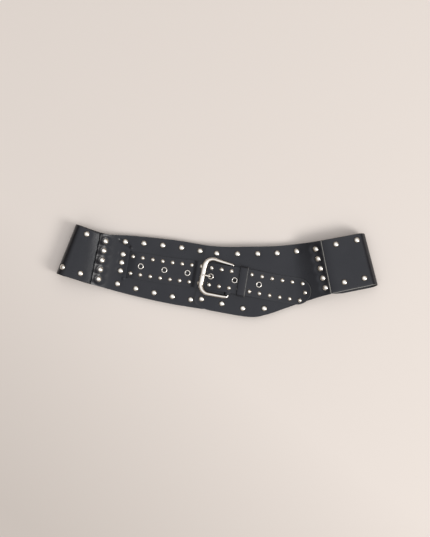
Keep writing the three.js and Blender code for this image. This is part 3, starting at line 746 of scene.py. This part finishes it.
rightSize = (rightSeam - lapStart, rightPanel["across"])
bm = leatherSheet(rightPanel["columns"], rightPanel["rows"], rightSize, rightPanelPoint, rightPanelWornAndLit)
leatherPiece(bm, "rightFrontPanel", panelLeather, "right_front_panel", leather, rightPanel["rim"])
print("right panel done")

# strap: flat leather with a round tip and six eyelet holes
strapSheet = {
    "columns": 440, "tipColumns": 30, "rows": 34, "crown": 0.2, "hole": 3.2, "rim": 0.6,
    "worn": 0.1, "wornTip": 0.4, "tipFade": (0.8, 0.97), "ripple": (15, 0.12), "dentFade": 3,
}
eyeletRuns = [strap["eyeletFirst"] + i * strap["eyeletPitch"] for i in range(strap["eyeletCount"])]


def strapPoint(a, b):
    # the last columns follow the round tip
    half = strap["width"] / 2
    tipStart = strap["length"] - half
    body = 1 - strapSheet["tipColumns"] / strapSheet["columns"]
    if a <= body:
        run, wide = lerp(-strap["root"], tipStart, a / body), half
    else:
        angle = math.radians(90) * (a - body) / (1 - body)
        run, wide = tipStart + half * math.sin(angle), half * math.cos(angle)
    side = lerp(-wide, wide, b)
    point = onStrap(run, side, -strapSheet["crown"] * (side / half) ** 2)
    hidden = 1 - smooth(run, -strapSheet["dentFade"], 0)
    point.z += (ripple(point, *strapSheet["ripple"]) - dent("left", point) * hidden) * mm
    return point


def strapRimPaleness(a, b):
    # the rim grows paler towards the tip
    return lerp(strapSheet["worn"], strapSheet["wornTip"], smooth(a, *strapSheet["tipFade"]))


strapSize = (strap["length"] + strap["root"], strap["width"])
bm = leatherSheet(strapSheet["columns"], strapSheet["rows"], strapSize, strapPoint, strapRimPaleness)
bmesh.ops.remove_doubles(bm, verts=bm.verts[:], dist=weld)
hole = strapSheet["hole"] * mm
for run in eyeletRuns:
    middle = onStrap(run, 0).xy
    inside = [face for face in bm.faces if (face.calc_center_median().xy - middle).length < hole]
    bmesh.ops.delete(bm, geom=inside, context="FACES")
    for vert in bm.verts:
        away = vert.co.xy - middle
        if vert.is_boundary and away.length < 2 * hole:
            vert.co.xy = middle + away.normalized() * hole
leatherPiece(bm, "strapStrip", strapLeather, "strap", strap["wall"], strapSheet["rim"])
print("strap done")


# round metal pieces: a profile spun about its axis, then set on a seat
def spun(profile, segments):
    bm = bmesh.new()
    verts = [bm.verts.new((x * mm, 0, z * mm)) for x, z in profile]
    edges = [bm.edges.new(pair) for pair in zip(verts, verts[1:])]
    bmesh.ops.spin(
        bm, geom=verts + edges, axis=(0, 0, 1), cent=(0, 0, 0),
        steps=segments, angle=2 * math.pi, use_merge=True,
    )
    bmesh.ops.remove_doubles(bm, verts=bm.verts[:], dist=weld / 10)
    bmesh.ops.recalc_face_normals(bm, faces=bm.faces[:])
    return meshOf(bm, "spun")


def seated(bm, mesh, at, normal, lift=0):
    # adds a copy of a spun mesh with its axis along the normal
    first = len(bm.verts)
    bm.from_mesh(mesh)
    bm.verts.ensure_lookup_table()
    turn = Vector((0, 0, 1)).rotation_difference(normal).to_matrix().to_4x4()
    move = Matrix.Translation(at + normal * lift * mm) @ turn
    bmesh.ops.transform(bm, matrix=move, space=Matrix.Identity(4), verts=bm.verts[first:])


# shares of the radius and the height
domeShape = {"rings": 9, "edge": 0.97, "lip": 0.99, "underside": 0.98, "rim": 0.1, "backEdge": 0.8}


def rivetProfile(radius, height, depth):
    # a low dome with a rolled rim, a post through the leather and a flat back
    edge, rim, rings = radius * domeShape["edge"], domeShape["rim"], domeShape["rings"]
    points = [(0, height)]
    for i in range(1, rings):
        angle = math.radians(90) * i / rings
        points.append((edge * math.sin(angle), height * lerp(rim, 1, math.cos(angle))))
    post, backRadius, foot = studs["postRadius"], studs["backRadius"], -studs["foot"]
    under = -depth - 2 * seat
    bottom = under - studs["backHeight"]
    points += [(radius * domeShape["lip"], height * rim), (radius, 0)]
    points += [(radius * domeShape["underside"], foot), (post, foot), (post, under)]
    points += [(backRadius, under), (backRadius, (under + bottom) / 2)]
    return points + [(backRadius * domeShape["backEdge"], bottom), (0, bottom)]


domes = {}
groups = {}
for node, layer, station, side, depth, hollow in studPlaces:
    if depth not in domes:
        domes[depth] = spun(rivetProfile(studs["radius"], studs["height"], depth), studs["segments"])
    group = node.rstrip("0123456789").rstrip("_")
    groups.setdefault(group, []).append((node, layer, station, side, depth, hollow))
for group, places in groups.items():
    bm = bmesh.new()
    for node, layer, station, side, depth, hollow in places:
        seated(bm, domes[depth], *studSeat(layer, station, side), seat - studs["sink"] * hollow)
    words = group.split("_")
    name = words[0] + "".join(word.title() for word in words[1:]) + "s"
    finishPiece(bm, name, [studNickel], [place[0] for place in places])
print("large studs done")

strapStuds = {
    "radius": 2.85, "height": 1.9, "segments": 20,
    "pitch": 13.33, "first": 5, "inset": 6.3, "tipInset": 7.3,
}
coneShape = [
    # shares of the radius and the height
    (0, 1), (0.2, 0.97), (0.4, 0.88), (0.6, 0.72), (0.77, 0.52), (0.9, 0.3), (0.98, 0.1), (1, 0.01),
    (0.98, -0.2), (0, -0.2),
]
coneProfile = [(x * strapStuds["radius"], z * strapStuds["height"]) for x, z in coneShape]
cone = spun(coneProfile, strapStuds["segments"])
bm = bmesh.new()
coneSide = strap["width"] / 2 - strapStuds["inset"]
tipRun = strap["length"] - strapStuds["tipInset"]
conePairs = int((tipRun - strapStuds["first"]) / strapStuds["pitch"]) + 1
for i in range(conePairs):
    run = strapStuds["first"] + i * strapStuds["pitch"]
    for side in (coneSide, -coneSide):
        seated(bm, cone, onStrap(run, side), strapNormal(run, side))
seated(bm, cone, onStrap(tipRun, 0), strapNormal(tipRun, 0))
finishPiece(bm, "strapStuds", [studNickel], ())
print("strap studs done", conePairs)

eyeletProfile = [
    # a rolled rim over a short tube
    (2.55, -2.3), (2.55, 0.45), (2.66, 0.8), (2.9, 1.02), (3.2, 1.08), (3.55, 0.98),
    (3.9, 0.66), (4.12, 0.25), (4.1, -0.2), (3, -0.2), (2.95, -2.3), (2.55, -2.3),
]
eyeletLift = 0.1
ring = spun(eyeletProfile, studs["segments"])
for i, run in enumerate(eyeletRuns):
    bm = bmesh.new()
    seated(bm, ring, onStrap(run, 0), strapNormal(run, 0), eyeletLift)
    finishPiece(bm, f"eyeletRing{i + 1}", [studNickel], [f"eyelet_{i + 1}"])
print("eyelets done")

# buckle: distances from the prong's eyelet, across, and above the right panel
buckleX, buckleY = strapPlan(prongRun, 0)
buckleDir = heading(buckle["turn"])
buckleAcross = Vector((-buckleDir[1], buckleDir[0], 0))
deck = rightTop(leftPanelEnd)


def onBuckle(reachOut, side, height):
    x = buckleX + buckleDir[0] * reachOut - buckleDir[1] * side
    y = buckleY + buckleDir[1] * reachOut + buckleDir[0] * side
    return toWorld(x, y, deck + height)


def sweepTube(stops, sides, closed=False):
    # an oval ring carried along the stops by extrusion; each stop is point, width, height, sideways
    bm = bmesh.new()
    matrices = []
    for i, (at, wide, high, sideways) in enumerate(stops):
        before = stops[(i - 1) % len(stops)][0] if closed or i else at
        after = stops[(i + 1) % len(stops)][0] if closed or i + 1 < len(stops) else at
        tangent = (after - before).normalized()
        side = (sideways or tangent.cross(Vector((0, 0, 1)))).normalized()
        up = side.cross(tangent).normalized()
        turn = Matrix((side * wide / 2 * mm, up * high / 2 * mm, tangent)).transposed().to_4x4()
        matrices.append(Matrix.Translation(at) @ turn)
    circle = bmesh.ops.create_circle(bm, segments=sides, radius=1, matrix=matrices[0])["verts"]
    edges = list({edge for vert in circle for edge in vert.link_edges})
    firstEdges = edges
    for before, after in zip(matrices, matrices[1:]):
        grown = bmesh.ops.extrude_edge_only(bm, edges=edges)["geom"]
        verts = [item for item in grown if isinstance(item, bmesh.types.BMVert)]
        edges = [item for item in grown if isinstance(item, bmesh.types.BMEdge)]
        bmesh.ops.transform(bm, matrix=after @ before.inverted(), space=Matrix.Identity(4), verts=verts)
    if closed:
        bmesh.ops.bridge_loops(bm, edges=firstEdges + edges)
    else:
        for loop in (firstEdges, edges):
            bmesh.ops.edgeloop_fill(bm, edges=loop)
    bmesh.ops.recalc_face_normals(bm, faces=bm.faces[:])
    return bm


heelHeight = 2 * seat + tab["wall"] + buckle["heelBar"] / 2
barMid = seat + strap["wall"] + buckle["lift"] + buckle["barHeight"] / 2
frontReach = -buckle["reach"] + buckle["barWidth"] / 2
frontSide = strap["width"] / 2 + buckle["room"] + buckle["railWidth"] / 2
farWidth = buckle["railWidth"] * buckle["railTaper"]
heelSide = strap["width"] / 2 + buckle["heelRoom"] + farWidth / 2


def frameStop(reachOut, side, wide, high):
    share = min(1, max(0, (reachOut - frontReach) / (heelReach - frontReach)))
    return onBuckle(reachOut, side, lerp(barMid, heelHeight, share)), wide, high, None


def frameStops():
    # one rail and corner, the same mirrored, then the heel bar
    half = []
    corner = buckle["heelCorner"]
    heelEnd = heelReach + buckle["heelOver"]
    for i in range(buckle["heelSteps"]):
        thick = lerp(buckle["heelNeck"], farWidth, (i + 1) / buckle["heelSteps"])
        inwards, inset = roundOff(corner, (i + 0.5) / buckle["heelSteps"])
        half.append((heelEnd - inset, heelSide - inwards, thick, thick * buckle["neckFlat"]))
    for i in range(buckle["railSteps"] + 1):
        share = 1 - i / buckle["railSteps"]
        high = lerp(buckle["barHeight"], farWidth, share) * buckle["flat"]
        half.append((
            lerp(frontReach + buckle["corner"], heelEnd - corner, share), lerp(frontSide, heelSide, share),
            lerp(buckle["railWidth"], farWidth, share), high,
        ))
    for i in range(1, buckle["cornerSteps"] + 1):
        share = i / buckle["cornerSteps"]
        turned, drawnIn = roundOff(buckle["corner"], share)
        thick = lerp(buckle["railWidth"], buckle["barWidth"], share)
        half.append((frontReach + turned, frontSide - drawnIn, thick, buckle["barHeight"]))
    stops = [frameStop(*stop) for stop in half]
    for reachOut, side, wide, high in reversed(half):
        # the lower rail stands a little further out at its heel
        slip = buckle["heelSlip"] * smooth(reachOut, frontReach, heelReach)
        stops.append(frameStop(reachOut, -side - slip, wide, high))
    for share in buckle["heelShares"]:
        at = onBuckle(heelReach, share * heelSide, heelHeight)
        stops.append((at, buckle["heelBar"], buckle["heelBar"], None))
    return stops


def roundedPath(points, radius, steps=5):
    # an open path whose first two values are reach and height, with each inner corner rounded
    result = [points[0]]
    for before, corner, after in zip(points, points[1:], points[2:]):
        middle = Vector(corner[:2])
        a, b = Vector(before[:2]) - middle, Vector(after[:2]) - middle
        cut = min(radius, a.length * 0.49, b.length * 0.49)
        start, end = middle + a.normalized() * cut, middle + b.normalized() * cut
        for i in range(steps + 1):
            t = i / steps
            p = start * (1 - t) ** 2 + middle * 2 * t * (1 - t) + end * t * t
            result.append((p.x, p.y, *corner[2:]))
    return result + [points[-1]]


def prongStops():
    # a flat eye round the heel bar, then a rod that rises through the eyelet and lies on the front bar
    radius = buckle["heelBar"] / 2 + seat + tab["wall"] / 2
    eye = []
    for i in range(buckle["eyeSteps"] + 1):
        angle = math.radians(lerp(buckle["eyeFrom"], buckle["eyeTo"], i / buckle["eyeSteps"]))
        x, z = heelReach + radius * math.cos(angle), heelHeight + radius * math.sin(angle)
        eye.append((x, z, buckle["eyeWidth"], tab["wall"]))
    crossing = seat + strap["wall"] + stackTop * smooth(0, -strap["riseLead"], heelReach)
    over = barMid + buckle["barHeight"] / 2 - buckle["prongHeight"] * buckle["prongSunk"]
    wide, high = buckle["prongWidth"], buckle["prongHeight"]
    line = [
        (heelReach * 0.8, heelHeight + 2), (heelReach * 0.5, heelHeight + 0.4),
        (heelReach * 0.24, heelHeight - 1.3), (0.3, heelHeight - 1.4), (0, crossing + 1),
        (-1.6, over - 0.4), (-4, over), (frontReach + buckle["barWidth"] / 2, over),
    ]
    tip = [
        (frontReach - buckle["barWidth"] * 0.04, over - 0.15, wide * 0.86, high * 0.8),
        (frontReach - buckle["barWidth"] * 0.1, over - 0.25, wide * 0.4, high * 0.35),
    ]
    rod = roundedPath([(x, z, wide, high) for x, z in line] + tip, buckle["prongBend"])
    return [(onBuckle(x, 0, z), wide, thick, buckleAcross) for x, z, wide, thick in eye + rod]


bm = sweepTube(frameStops(), buckle["tubeSides"], closed=True)
finishPiece(bm, "buckleFrame", [buckleNickel], ["buckle_frame"])
bm = sweepTube(prongStops(), buckle["prongSides"])
finishPiece(bm, "buckleProng", [buckleNickel], ["buckle_prong"])
print("buckle done")


# tab and keeper: thin leather laid along a line seen from the side
def walk(points):
    # returns the place at a share of the line's length
    lengths = [0]
    for a, b in zip(points, points[1:]):
        lengths.append(lengths[-1] + math.dist(a, b))

    def at(share):
        length = share * lengths[-1]
        i = min(len(points) - 2, max(0, bisect.bisect_right(lengths, length) - 1))
        part = (length - lengths[i]) / (lengths[i + 1] - lengths[i])
        return [lerp(p, q, part) for p, q in zip(points[i], points[i + 1])]

    return at, lengths[-1]


keeper = {
    "place": 42, "width": 10.5, "room": 0.8, "corner": 2.4, "studRoom": 2.4,
    "crown": 0.7, "crownDepth": 3, "crownAcross": 0.6, "cornerSteps": 8, "endless": 1e4,
    "columns": 110, "rows": 14, "rim": 0.4, "worn": 0.1, "wornRight": 0.9,
}
tabSheet = {
    "columns": 130, "outerRows": 10, "slotRows": 4, "slotRun": 5.95, "rim": 0.4, "worn": 0.1,
    "shoulders": (20.2, 18.2), "shoulderFrom": 1, "shoulderTo": 6,
    "bendSteps": 12, "rivetSegments": 24,
}
between = seat + tab["wall"]


def tabOutline():
    # the outer face, from the end of the lower leg round the heel bar to the end of the upper leg
    radius, end = buckle["heelBar"] / 2 + seat + tab["wall"], heelReach + tab["length"]
    path = [(end, seat)]
    for i in range(tabSheet["bendSteps"] + 1):
        angle = math.radians(270 - 180 * i / tabSheet["bendSteps"])
        path.append((heelReach + radius * math.cos(angle), heelHeight + radius * math.sin(angle)))
    keeperTopSide = seat + 2 * between + tab["wall"]
    path += roundedPath([
        (keeper["place"] - keeper["width"] / 2 - 5 * seat, keeperTopSide),
        (keeper["place"] + keeper["width"] / 2 + 3 * seat, keeperTopSide),
        (end - 2 * tab["rivetInset"] - seat, seat + between + tab["wall"]),
        (end, seat + between + tab["wall"]),
    ], tab["corner"])
    return path


tabAt, tabRun = walk(tabOutline())
slotHalf = buckle["eyeWidth"] / 2 + 2 * seat


def tabSide(share, reachOut):
    # the loop is wider, and covers the whole heel bar
    loop = 1 - smooth(reachOut - heelReach, tabSheet["shoulderFrom"], tabSheet["shoulderTo"])
    low, high = (lerp(tab["width"] / 2, shoulder, loop) for shoulder in tabSheet["shoulders"])
    return rowSide(share, tabSheet["outerRows"], tabSheet["slotRows"], -low, slotHalf, high)


def tabPoint(a, b):
    reachOut, height = tabAt(a)
    return onBuckle(reachOut, tabSide(b, reachOut), height)


tabRows, tabSize = 2 * tabSheet["outerRows"] + tabSheet["slotRows"], (tabRun, tab["width"])
bm = leatherSheet(tabSheet["columns"], tabRows, tabSize, tabPoint, lambda a, b: tabSheet["worn"])
cutOblong(bm, onBuckle(heelReach, 0, 0).xy, buckleDir, tabSheet["slotRun"], slotHalf)
leatherPiece(bm, "buckleTab", strapLeather, "buckle_tab", tab["wall"], tabSheet["rim"])
capProfile = rivetProfile(studs["backRadius"], studs["backHeight"], 2 * between + leather)
tabCap = spun(capProfile, tabSheet["rivetSegments"])
for i, side in enumerate((tab["rivetSpread"], -tab["rivetSpread"])):
    bm = bmesh.new()
    rivetAt = onBuckle(heelReach + tab["length"] - tab["rivetInset"], side, 2 * between)
    seated(bm, tabCap, rivetAt, Vector((0, 0, 1)), seat)
    finishPiece(bm, f"tabRivet{i + 1}", [studNickel], [f"tab_rivet_{i + 1}"])
print("tab done")

keeperRun = prongRun + keeper["place"]
keeperLow = deck + seat + between
keeperTop = strapUnder(keeperRun, 0) + strap["wall"] + keeper["studRoom"] + between
keeperHalf = strap["width"] / 2 + keeper["room"] + tab["wall"]


def keeperOutline():
    # a rounded oblong, from the middle of its underside
    r = keeper["corner"]
    points = [(0, keeperLow)]
    for k, (right, up) in enumerate(((1, 0), (1, 1), (-1, 1), (-1, 0))):
        for i in range(keeper["cornerSteps"] + 1):
            angle = math.radians(270 + 90 * (k + i / keeper["cornerSteps"]))
            middle = keeperTop - r if up else keeperLow + r
            points.append((right * (keeperHalf - r) + r * math.cos(angle), middle + r * math.sin(angle)))
    return points + [(0, keeperLow)]


keeperAt = walk(keeperOutline())[0]


def keeperPoint(a, b):
    side, height = keeperAt(a)
    upper = smooth(height, keeperTop - keeper["crownDepth"], keeperTop)
    across = keeper["crownAcross"] * (1 - (side / keeperHalf) ** 2)
    crown = keeper["crown"] * upper * (across - (2 * b - 1) ** 2)
    return toWorld(*strapPlan(keeperRun + (b - 0.5) * keeper["width"], side), height + crown)


def keeperWornAndLit(a, b):
    # painted highlight: the right side's rim is paler, as it faces the light; the left has a light rub
    return keeper["wornRight"] if b > 0.5 else keeper["worn"]


# the loop has no ends, so only its two sides are rims
keeperSize = (keeper["endless"], keeper["width"])
bm = leatherSheet(keeper["columns"], keeper["rows"], keeperSize, keeperPoint, keeperWornAndLit)
bmesh.ops.remove_doubles(bm, verts=bm.verts[:], dist=weld)
bmesh.ops.recalc_face_normals(bm, faces=bm.faces[:])
leatherPiece(bm, "keeperLoop", strapLeather, "keeper", tab["wall"], keeper["rim"])
print("keeper done")

# floor, light and camera
stage = {
    "floor": (0.75, 0.692, 0.645), "floorDim": (0.59, 0.54, 0.498), "dimStops": (0.1, 0.42),
    "dimTowards": (-0.6, -0.8, 0), "floorSize": 6, "floorDrop": 0.3, "floorRough": 0.9, "floorShine": 0.1,
    "keyEnergy": 44, "keySize": 1.2, "keyColour": (1, 0.99, 0.97),
    "keyAway": 3, "keyTurn": -24, "keyRise": 39,
    "low": (0.16, 0.12, 0.085), "wall": (0.28, 0.225, 0.17), "wallAt": 0.4,
    "cove": (0.72, 0.71, 0.7), "coveAt": 0.7, "zenith": (1.37, 1.38, 1.44), "sideLight": (0.8, 1.2),
}
bm = bmesh.new()
bmesh.ops.create_grid(bm, x_segments=1, y_segments=1, size=stage["floorSize"] / 2)
bmesh.ops.translate(bm, vec=(0, 0, -stage["floorDrop"] * mm), verts=bm.verts[:])
mesh = meshOf(bm, "paperFloor")
paper, tree, shader, place = newMaterial("paperFloor")
# painted shade: the floor's colour is a little darker towards one corner
slope = tree.nodes.new("ShaderNodeVectorMath")
slope.operation = "DOT_PRODUCT"
slope.inputs[1].default_value = stage["dimTowards"]
tree.links.new(place, slope.inputs[0])
stops = zip(stage["dimStops"], (stage["floor"], stage["floorDim"]))
values = {"Roughness": stage["floorRough"], "Specular IOR Level": stage["floorShine"]}
fillNode(tree, shader, values, {"Base Color": ramp(tree, slope.outputs["Value"], stops)})
mesh.materials.append(paper)
floor = addObject("paperFloor", mesh)

turned, (level, up) = heading(stage["keyTurn"]), heading(stage["keyRise"])
keyPlace = Vector((turned[0] * level, turned[1] * level, up)) * stage["keyAway"]
keyData = bpy.data.lights.new("keyLight", "AREA")
keyData.shape = "DISK"
keyData.size = stage["keySize"]
keyData.energy = stage["keyEnergy"]
keyData.color = stage["keyColour"]
key = addObject("keyLight", keyData)
key.location = keyPlace
key.rotation_euler = (-keyPlace).to_track_quat("-Z", "Y").to_euler()

# the room: warm and dim low down, a wide soft light overhead, brighter on the key's side
world = bpy.data.worlds.new("studio")
world.use_nodes = True
tree = world.node_tree
split = tree.nodes.new("ShaderNodeSeparateXYZ")
tree.links.new(tree.nodes.new("ShaderNodeTexCoord").outputs["Generated"], split.inputs["Vector"])
steps = [(0, stage["low"]), (1, stage["zenith"])]
steps += [(stage["wallAt"], stage["wall"]), (stage["coveAt"], stage["cove"])]
fillNode(tree, tree.nodes["Background"], {}, {
    "Color": ramp(tree, split.outputs["Z"], steps),
    "Strength": mapRange(tree, split.outputs["X"], *stage["sideLight"], -1),
})
bpy.context.scene.world = world

# the photograph's frame is 430 by 537 and looks straight down, at 1.32 mm for each pixel
view = {
    "pixel": 1.32, "columns": 430, "rows": 537, "middle": (216.95, 270.5),
    "height": 1.5, "plane": 0.011, "sensor": 36, "clip": 20,
}
cameraData = bpy.data.cameras.new("topCamera")
cameraData.sensor_fit = "HORIZONTAL"
cameraData.sensor_width = view["sensor"]
across = view["columns"] * view["pixel"] * mm
cameraData.lens = view["sensor"] * (view["height"] - view["plane"]) / across
cameraData.clip_end = view["clip"]
camera = addObject("topCamera", cameraData)
camera.location = (
    (view["columns"] / 2 - view["middle"][0]) * view["pixel"] * mm,
    (view["middle"][1] - view["rows"] / 2) * view["pixel"] * mm,
    view["height"],
)
bpy.context.scene.camera = camera
bpy.context.scene.view_settings.view_transform = "Standard"

print("scene ready")
